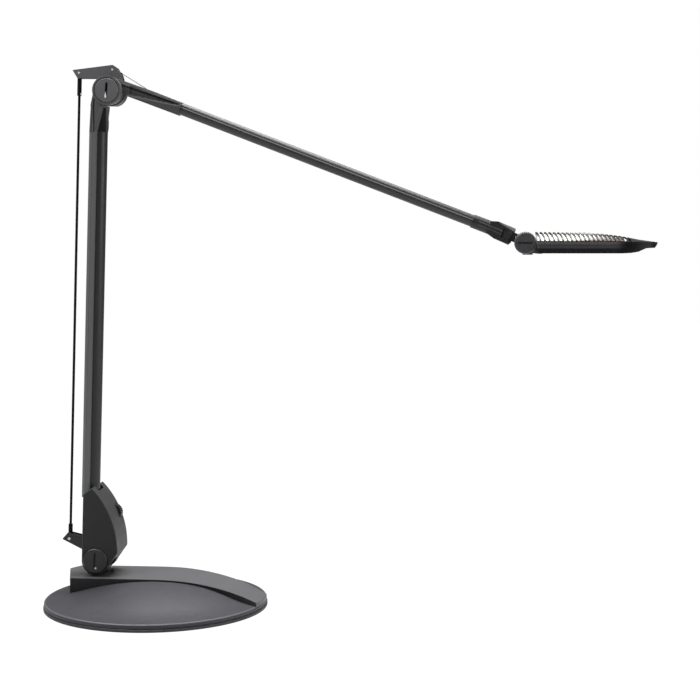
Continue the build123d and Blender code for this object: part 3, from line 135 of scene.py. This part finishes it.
def patch_mask(tree, point, patch):
    """Mask that is 1 inside a convex patch, seen from the side, and fades over its soft edge."""
    corners = patch.corners
    middle = sum(corners, Vector()) / len(corners)
    edges = zip(corners, corners[1:] + corners[:1])
    depths = [depth_inside(tree, point, start, end, middle) for start, end in edges]
    inside = depths[0]
    for depth in depths[1:]:
        inside = add(tree, "Math", {"operation": "MINIMUM"}, {0: inside, 1: depth}).outputs["Value"]
    return smooth_step(tree, inside, -patch.soft, patch.soft)


def shade_face_mask(tree, normal):
    """Mask that is 1 on the flat near and far faces of a part, which get painted shade, and 0 on its rims.
    """
    axes = add(tree, "SeparateXYZ", {}, {"Vector": normal})
    sideways = add(tree, "Math", {"operation": "ABSOLUTE"}, {0: axes.outputs["Y"]})
    return smooth_step(tree, sideways.outputs["Value"], FACE_FROM, FACE_TO)


def rim_highlight_mask(tree, point):
    """Mask that is 1 on the sharp edge round the dome, which gets a painted highlight."""
    flat = add(tree, "VectorMath", {"operation": "MULTIPLY"}, {0: point, 1: (1, 1, 0)})
    reach = add(tree, "VectorMath", {"operation": "LENGTH"}, {0: flat.outputs["Vector"]})
    inputs = {0: reach.outputs["Value"], 1: DOME_EDGE, 2: DOME_EDGE_HALF}
    return add(tree, "Math", {"operation": "COMPARE"}, inputs).outputs["Value"]


def grain_bump(tree, point, normal, strength, size):
    """Normal socket with a fine moulded or powder-coated grain."""
    noise = add(tree, "TexNoise", {}, {"Scale": 1 / size, "Detail": GRAIN_DETAIL, "Vector": point})
    inputs = {"Strength": strength, "Distance": size / 2, "Height": noise.outputs["Fac"], "Normal": normal}
    return add(tree, "Bump", {}, inputs).outputs["Normal"]


def paint(name, colour, rough, grain=0.0, grain_size=FINE_GRAIN, metal=0.0, edge=0.0004, wear=0.12,
          gloss=PLAIN, face_shade=None, rim_highlight=None, patches=()):
    """Painted or moulded surface with a fine grain, soft edges, a slight unevenness and painted light and
    shade.
    """
    material = bpy.data.materials.new(name)
    material.use_nodes = True
    tree = material.node_tree
    shader = tree.nodes["Principled BSDF"]
    place = tree.nodes.new("ShaderNodeTexCoord")
    point = place.outputs["Object"]

    cloud_inputs = {"Scale": CLOUD_SCALE, "Detail": CLOUD_DETAIL, "Vector": point}
    cloud = add(tree, "TexNoise", {}, cloud_inputs).outputs["Fac"]
    worn = (*[c * (1 - wear) for c in colour], 1)
    fresh = [min(1, c * (1 + wear)) for c in colour]
    tone = blend_colour(tree, worn, fresh, cloud)
    # Painted shade: the flat near and far faces take a darker colour.
    if face_shade:
        tone = blend_colour(tree, tone, face_shade, shade_face_mask(tree, place.outputs["Normal"]))
    # Painted highlight: a lighter colour on the edge round the dome.
    if rim_highlight:
        tone = blend_colour(tree, tone, rim_highlight, rim_highlight_mask(tree, point))
    sheen = gloss
    # Tone patches of painted shade and painted highlight, laid over the colour.
    for patch in patches:
        mask = patch_mask(tree, point, patch)
        tone = blend_colour(tree, tone, patch.colour, mask)
        sheen = add(tree, "Mix", {}, {"A": sheen, "B": patch.gloss, "Factor": mask}).outputs["Result"]

    spread = {
        "To Min": max(ROUGH_MIN, rough - ROUGH_SPREAD),
        "To Max": min(1.0, rough + ROUGH_SPREAD),
        "Value": cloud,
    }
    roughness = add(tree, "MapRange", {}, spread).outputs["Result"]
    normal = add(tree, "Bevel", {"samples": EDGE_SAMPLES}, {"Radius": edge}).outputs["Normal"]
    if grain > 0:
        normal = grain_bump(tree, point, normal, grain, grain_size)

    shader.inputs["Metallic"].default_value = metal
    if patches:
        tree.links.new(sheen, shader.inputs["Specular IOR Level"])
    else:
        shader.inputs["Specular IOR Level"].default_value = gloss
    tree.links.new(tone, shader.inputs["Base Color"])
    tree.links.new(roughness, shader.inputs["Roughness"])
    tree.links.new(normal, shader.inputs["Normal"])
    return material


def dress(look, *names):
    """Puts a material on every slot of these nodes."""
    for name in names:
        for slot in nodes[name].material_slots:
            slot.material = look


BLACK = grey(0.008, 0.001)

# ---------------------------------------------------------------- base and housing

# The base has a painted highlight round the edge of its dome. The crest and the housing have painted shade
# on their flat near and far faces.
base_look = paint("base_paint_look", (0.034, 0.033, 0.040), 0.5, grain=0.5, grain_size=COARSE_GRAIN,
                  edge=0.0008, rim_highlight=grey(0.115, 0.010))
crest_look = paint("crest_look", grey(0.086, 0.004), 0.48, grain=0.4, grain_size=COARSE_GRAIN, edge=0.001,
                   face_shade=grey(0.011, 0.001))
housing_look = paint("housing_look", grey(0.045, 0.002), 0.5, grain=0.3, edge=0.0009,
                     face_shade=grey(0.012, 0.002))
cap_look = paint("cap_look", grey(0.018, 0.002), 0.4, grain=0.2, edge=0.0006)
dark_look = paint("dark_paint_look", grey(0.020, 0.002), 0.42, grain=0.25, edge=0.0006)

dress(base_look, "base_dome", "base_plate")
dress(crest_look, "crest")
dress(housing_look, "housing_near", "housing_far")
dress(cap_look, "lower_cap_near", "lower_cap_far", "tilt_cap_far", "dimmer_wheel")
dress(dark_look, "turret_post", "link_bracket", "neck_block", "lower_yoke")

# ---------------------------------------------------------------- lower arm and elbow

FORK_TOP = -18
FORK_SHADE_TOP = -18.2
FORK_GROOVE_TOP = -9
FORK_END = -43.9
TUBE_END = -470
TUBE_LEFT = -24
TUBE_HIGHLIGHT_EDGE = -11.0
TUBE_SHADE_LINE_END = -9.8

# Painted light on the fork: painted shade on its right part, a painted highlight along its ridge and a
# painted line of shade where a groove runs.
fork_shade = [(-3.4, FORK_SHADE_TOP), (-11.6, FORK_END), (-2.8, FORK_END), (-0.4, FORK_SHADE_TOP)]
fork_ridge_highlight = [(-5.6, FORK_TOP), (-4.4, FORK_TOP), (-12.0, FORK_END), (-13.3, FORK_END)]
fork_groove_shade = [(-14.4, FORK_GROOVE_TOP), (-13.0, FORK_GROOVE_TOP), (-14.4, FORK_END), (-15.8, FORK_END)]
fork_patches = [
    Patch(BLACK, MATT, outline(ELBOW, LEAN, fork_shade), soft=0.0010),
    Patch(grey(0.12, 0.002), PLAIN, outline(ELBOW, LEAN, fork_ridge_highlight), soft=0.0004),
    Patch(BLACK, MATT, outline(ELBOW, LEAN, fork_groove_shade), soft=0.0004),
]
# Painted highlight along the left of the lower tube, with a painted line of shade at its right edge.
lower_tube_patches = [
    Patch((0.125, 0.126, 0.130), PLAIN, band(ELBOW, LEAN, TUBE_LEFT, TUBE_HIGHLIGHT_EDGE, TUBE_END, 0), soft=0.0010),
    Patch(grey(0.022, 0.001), DULL, band(ELBOW, LEAN, TUBE_HIGHLIGHT_EDGE, TUBE_SHADE_LINE_END, TUBE_END, 0), soft=0.0003),
]
# Painted shade that widens the dark slot in the elbow cap.
slot_shade = [(-0.9, 7.5), (1.7, 7.5), (1.0, -1.0), (-1.7, -1.0)]
slot_shade_patches = [Patch(BLACK, MATT, outline(ELBOW, LEVEL, slot_shade), soft=0.0003)]

lower_tube_look = paint("lower_tube_look", grey(0.020, 0.002), 0.4, grain=0.15, edge=0.0003,
                        patches=lower_tube_patches)
fork_look = paint("fork_look", grey(0.105, 0.002), 0.42, grain=0.2, edge=0.0006, patches=fork_patches)
elbow_cap_look = paint("elbow_cap_look", grey(0.128, 0.006), 0.45, grain=0.3, edge=0.0005,
                       patches=slot_shade_patches)
crank_look = paint("crank_look", grey(0.120, 0.010), 0.5, grain=0.3, edge=0.0005)

dress(lower_tube_look, "lower_tube")
dress(fork_look, "elbow_fork")
dress(elbow_cap_look, "elbow_cap_near", "elbow_cap_far")
dress(crank_look, "crank_plate")

# ---------------------------------------------------------------- upper arm

CONNECTOR_END = 76
TUBE_START = 50
TUBE_STOP = 440
END_START = 418
END_STOP = 459

# Painted light on the connector: painted shade in a pocket and in a groove along its top, a painted
# highlight on a ridge of its flank and painted shade on the flank below it.
pocket_shade = [(4, -4), (4, 12.4), (43, 11.3), (80, 13.6), (80, -4)]
top_groove_shade = [(10, 11.6), (10, 9.6), (CONNECTOR_END, 11.2), (CONNECTOR_END, 13.0)]
flank_ridge_highlight = [(20, 1.7), (20, 2.9), (CONNECTOR_END, 11.0), (CONNECTOR_END, 9.9)]
flank_belly_shade = [(20, -4), (20, 1.0), (CONNECTOR_END, 9.2), (80, -4)]
connector_patches = [
    Patch(grey(0.066, 0.002), PLAIN, outline(ELBOW, DROP, pocket_shade), soft=0.0005),
    Patch(grey(0.012, 0.001), MATT, outline(ELBOW, DROP, top_groove_shade), soft=0.0006),
    Patch(grey(0.19, 0.002), PLAIN, outline(ELBOW, DROP, flank_ridge_highlight), soft=0.0004),
    Patch(grey(0.075, 0.002), PLAIN, outline(ELBOW, DROP, flank_belly_shade), soft=0.0006),
]
# Painted light on the upper tube: a lighter band along its top, with a painted line of shade and a painted
# highlight line in it.
upper_tube_patches = [
    Patch(grey(0.052, 0.002), DULL, band(ELBOW, TUBE_DROP, TUBE_START, TUBE_STOP, 10.4, 20), soft=0.0008),
    Patch(grey(0.034, 0.002), MATT, band(ELBOW, TUBE_DROP, TUBE_START, TUBE_STOP, 12.3, 13.3), soft=0.0004),
    Patch(grey(0.24, 0.005), PLAIN, band(ELBOW, TUBE_DROP, TUBE_START, TUBE_STOP, 11.0, 12.0), soft=0.0005),
]
# Painted highlights on the head fork: a lit fin and two highlight lines.
fin_highlight = [(431, 15), (439, 18.2), (458, 15.2), (458, 24), (431, 24)]
upper_highlight_line = [(END_START, 11.6), (END_START, 12.6), (END_STOP, 11.8), (END_STOP, 10.8)]
lower_highlight_line = [(END_START, 8.4), (END_START, 9.4), (458, 8.0), (458, 7.0)]
end_patches = [
    Patch(grey(0.26, 0.002), PLAIN, outline(ELBOW, TUBE_DROP, fin_highlight), soft=0.0006),
    Patch(grey(0.11, 0.002), PLAIN, outline(ELBOW, TUBE_DROP, upper_highlight_line), soft=0.0004),
    Patch(grey(0.075, 0.002), PLAIN, outline(ELBOW, TUBE_DROP, lower_highlight_line), soft=0.0004),
]

connector_look = paint("connector_look", grey(0.16, 0.004), 0.4, grain=0.15, edge=0.0006,
                       patches=connector_patches)
upper_tube_look = paint("upper_tube_look", grey(0.042, 0.003), 0.38, grain=0.1, edge=0.0003,
                        patches=upper_tube_patches)
end_look = paint("end_look", grey(0.020, 0.002), 0.42, grain=0.2, edge=0.0006, patches=end_patches)

dress(connector_look, "upper_connector")
dress(upper_tube_look, "upper_tube")
dress(end_look, "head_fork")

# ---------------------------------------------------------------- lamp head

HEAD_TIP = 140
TIP_SHADE = 96

# Painted light on the head: painted shade over the tip, a painted sheen along the side of the tray, painted
# highlights on the tops of the ribs and painted warm shade on the reflector towards the tip.
tip_shade_patch = Patch(BLACK, MATT, band(HEAD, LEVEL, TIP_SHADE, HEAD_TIP, -12, 9), soft=0.008)
side_sheen_patch = Patch((0.060, 0.057, 0.070), PLAIN, band(HEAD, LEVEL, 0, HEAD_TIP, -5.6, 0), soft=0.0012)
rib_top_highlight = [(6, 9.7), (6, 14), (100, 14), (100, 6.6), (60, 9.2)]
rib_highlight_patch = Patch((0.42, 0.40, 0.37), PLAIN, outline(HEAD, LEVEL, rib_top_highlight), soft=0.0012)
bowl_shade = [(30, -4), (30, 0), (66, 4), (98, 10), (120, 10), (120, -4)]
bowl_shade_patch = Patch((0.16, 0.12, 0.10), MATT, outline(HEAD, LEVEL, bowl_shade), soft=0.004)

frame_look = paint("frame_look", (0.105, 0.098, 0.090), 0.34, grain=0.1, edge=0.0003, patches=[tip_shade_patch])
tray_look = paint("tray_look", grey(0.006, 0.001), 0.3, grain=0.1, edge=0.0003,
                  patches=[side_sheen_patch, tip_shade_patch])
rib_look = paint("rib_look", (0.014, 0.013, 0.013), 0.36, grain=0.1, edge=0.0002, patches=[rib_highlight_patch])
reflector_look = paint("reflector_look", (0.93, 0.92, 0.89), 0.4, edge=0.0002, wear=0.02,
                       patches=[bowl_shade_patch])
diffuser_look = paint("diffuser_look", (0.80, 0.80, 0.78), 0.45)
knob_look = paint("knob_look", grey(0.062, 0.005), 0.45, grain=0.25, edge=0.0005)
chrome_look = paint("chrome_look", grey(0.75, 0.02), 0.1, metal=1.0, edge=0.0001, wear=0.02)

dress(frame_look, "head_frame")
dress(tray_look, "head_tray")
dress(rib_look, "rib_grille")
dress(reflector_look, "reflector")
dress(diffuser_look, "diffuser")
dress(knob_look, "tilt_knob")
dress(chrome_look, "knob_washer")

# ---------------------------------------------------------------- rods, pins and inner pieces

steel_look = paint("steel_look", grey(0.55, 0.02), 0.3, metal=1.0, edge=0.0002, wear=0.05)
# Pale paint that stands for the glints of polished pins: a painted highlight.
glint_look = paint("pin_glint_look", grey(0.9), 0.5, edge=0.0001, wear=0.02)
rod_look = paint("rod_look", grey(0.005, 0.001), 0.6, edge=0.0002, gloss=0.2)
wire_look = paint("wire_look", grey(0.12, 0.005), 0.35, metal=0.7, edge=0.0001)
rubber_look = paint("rubber_look", grey(0.02), 0.8, grain=0.3)
iron_look = paint("iron_look", grey(0.05), 0.7, grain=0.6, metal=0.4)
board_look = paint("board_look", (0.03, 0.12, 0.05), 0.5)
plastic_look = paint("plastic_look", grey(0.012, 0.001), 0.4)

dress(steel_look, "base_screws", "swivel_washer", "swivel_nut", "housing_screws", "head_screws")
dress(steel_look, "lower_washers", "lower_axle", "lower_spring", "elbow_axle", "elbow_washers")
dress(steel_look, "upper_spring", "spring_plug", "neck_pin", "tilt_washers", "tilt_axle")
# The pins show as painted glints.
dress(glint_look, "bracket_pin", "crank_pins")
dress(rod_look, "link_rod", "rod_ends", "wire_anchor")
dress(wire_look, "balance_wire")
dress(rubber_look, "base_pad")
dress(iron_look, "base_weight")
dress(board_look, "dimmer_board", "light_board")
dress(plastic_look, "power_inlet", "wire_guide")

# ---------------------------------------------------------------- small painted glints

MARK_STEPS = 20
MARK_THICK = 0.0005
SLEEVE_MARK_THICK = 0.0004
DROP_MIDDLE = (-1.1, -5.2)
DROP_HALF_HEIGHT = 2.9
DROP_HALF_WIDTH = 0.95
DROP_PEAK = 1.3
DROP_OUT = 19.8
FOOT_DOT = (0.6, -7.5)
FOOT_DOT_R = 1.0
FOOT_DOT_OUT = 25.7
SLEEVE_DOT = (-31.6, -2.2)
SLEEVE_DOT_R = 0.9
SLEEVE_DOT_OUT = 3.4

mark_angles = [2 * math.pi * i / MARK_STEPS for i in range(MARK_STEPS)]


def glint_plate(name, points, thick, body):
    """Thin pale plate, a painted glint, that rides a body; the points are its front, and its back lies
    deeper in y.
    """
    count = len(points)
    front = [tuple(p) for p in points]
    back = [(p.x, p.y + thick, p.z) for p in points]
    sides = [(i, (i + 1) % count, count + (i + 1) % count, count + i) for i in range(count)]
    ends = [tuple(range(count)), tuple(range(2 * count - 1, count - 1, -1))]
    mesh = bpy.data.meshes.new(name)
    mesh.from_pydata(front + back, [], [*ends, *sides])
    mesh.materials.append(glint_look)
    piece = bpy.data.objects.new(name, mesh)
    bpy.context.scene.collection.objects.link(piece)
    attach(piece, body)


def dot_points(origin, middle, radius, out):
    """Circle round a place given in millimetres from a pivot."""
    along, up = middle
    return [
        spot(origin, LEVEL, along + radius * math.sin(t), up + radius * math.cos(t), out)
        for t in mark_angles
    ]


def drop_points(origin, middle, out):
    """Teardrop with its point up; sin(t) * (1 - cos(t)) is DROP_PEAK where the drop is widest."""
    along, up = middle
    points = []
    for t in mark_angles:
        side = DROP_HALF_WIDTH * math.sin(t) * (1 - math.cos(t)) / DROP_PEAK
        points.append(spot(origin, LEVEL, along + side, up + DROP_HALF_HEIGHT * math.cos(t), out))
    return points


# Painted glints: a teardrop in the slot of the elbow cap, a dot in the slot of the foot cap and a dot on
# the sleeve.
elbow_drop = drop_points(ELBOW, DROP_MIDDLE, DROP_OUT)
foot_dot = dot_points(PIVOT, FOOT_DOT, FOOT_DOT_R, FOOT_DOT_OUT)
sleeve_dot = dot_points(ELBOW, SLEEVE_DOT, SLEEVE_DOT_R, SLEEVE_DOT_OUT)
glint_plate("elbow_glint", elbow_drop, MARK_THICK, "elbow_screw")
glint_plate("foot_glint", foot_dot, MARK_THICK, "foot_screw")
glint_plate("sleeve_glint", sleeve_dot, SLEEVE_MARK_THICK, "link")

# ---------------------------------------------------------------- floor and backdrop

FLOOR_HALF = 6
FLOOR_ROUGH = 0.9
FLOOR_GLOW = 1.085
FLOOR_GLOW_SHARE = 0.93
SKY_LIGHT = 0.16
BACKDROP = 1.0
WHITE = (1, 1, 1, 1)
MID_GREY = (0.5, 0.5, 0.5, 1)


def camera_mix(tree, factor, for_light, for_camera, target):
    """Shows the camera one shader and gives the light another, on the output of the tree."""
    mix = add(tree, "MixShader", {}, {"Fac": factor, 1: for_light, 2: for_camera})
    tree.links.new(mix.outputs["Shader"], tree.nodes[target].inputs["Surface"])


def make_floor():
    """Floor that the camera sees as plain white, with no shadow, and that throws back light as grey."""
    mesh = bpy.data.meshes.new("floor")
    signs = [(-1, -1), (1, -1), (1, 1), (-1, 1)]
    mesh.from_pydata([(x * FLOOR_HALF, y * FLOOR_HALF, 0) for x, y in signs], [], [(0, 1, 2, 3)])
    floor = bpy.data.objects.new("floor", mesh)
    bpy.context.scene.collection.objects.link(floor)
    look = bpy.data.materials.new("floor_look")
    look.use_nodes = True
    tree = look.node_tree
    shader = tree.nodes["Principled BSDF"]
    shader.inputs["Base Color"].default_value = MID_GREY
    shader.inputs["Roughness"].default_value = FLOOR_ROUGH
    glow = add(tree, "Emission", {}, {"Color": WHITE, "Strength": FLOOR_GLOW})
    ray = tree.nodes.new("ShaderNodeLightPath").outputs["Is Camera Ray"]
    share = add(tree, "Math", {"operation": "MULTIPLY"}, {0: ray, 1: FLOOR_GLOW_SHARE}).outputs["Value"]
    camera_mix(tree, share, shader.outputs["BSDF"], glow.outputs["Emission"], "Material Output")
    mesh.materials.append(look)


def make_backdrop():
    """World that is white to the camera and lights the lamp only a little."""
    world = bpy.data.worlds.new("studio")
    world.use_nodes = True
    bpy.context.scene.world = world
    tree = world.node_tree
    sky = tree.nodes["Background"]
    sky.inputs["Color"].default_value = WHITE
    sky.inputs["Strength"].default_value = SKY_LIGHT
    backdrop = add(tree, "Background", {}, {"Color": WHITE, "Strength": BACKDROP})
    ray = tree.nodes.new("ShaderNodeLightPath").outputs["Is Camera Ray"]
    camera_mix(tree, ray, sky.outputs["Background"], backdrop.outputs["Background"], "World Output")


make_floor()
make_backdrop()

# ---------------------------------------------------------------- lights


def area_light(name, position, target, size, power):
    """Soft square light at a position, turned to a target."""
    light = bpy.data.lights.new(name, "AREA")
    light.shape = "SQUARE"
    light.size = size
    light.energy = power
    thing = bpy.data.objects.new(name, light)
    thing.location = position
    thing.rotation_euler = (Vector(target) - Vector(position)).to_track_quat("-Z", "Y").to_euler()
    bpy.context.scene.collection.objects.link(thing)


area_light("key", (-1.1, -0.5, 1.7), (0.0, 0, 0.25), size=0.8, power=20)
area_light("fill", (1.7, -0.2, 0.8), (0.0, 0, 0.25), size=0.9, power=10)
area_light("top", (0.05, 0.35, 1.7), (0.05, 0, 0.2), size=1.3, power=52)

# ---------------------------------------------------------------- camera, as solved from the photo

# The picture's side, the focal length and the horizon's height above the middle are in pixels.

EYE = Vector((0.34327, -1.54139, 0.38193))
AZIMUTH = math.radians(5)
IMAGE_SIDE = 700
FOCAL = 1480
HORIZON_ABOVE = 102
SENSOR = 36
CLIP_NEAR = 0.05
CLIP_FAR = 30

pitch = math.atan(HORIZON_ABOVE / FOCAL)
look_dir = Vector(
    (-math.sin(AZIMUTH) * math.cos(pitch), math.cos(AZIMUTH) * math.cos(pitch), -math.sin(pitch))
)
camera = bpy.data.cameras.new("camera")
camera.sensor_width = SENSOR
camera.sensor_fit = "HORIZONTAL"
camera.lens = SENSOR * FOCAL / IMAGE_SIDE
camera.clip_start = CLIP_NEAR
camera.clip_end = CLIP_FAR
viewer = bpy.data.objects.new("camera", camera)
viewer.location = EYE
viewer.rotation_euler = look_dir.to_track_quat("-Z", "Y").to_euler()
bpy.context.scene.collection.objects.link(viewer)
bpy.context.scene.camera = viewer
bpy.context.scene.view_settings.view_transform = "Standard"
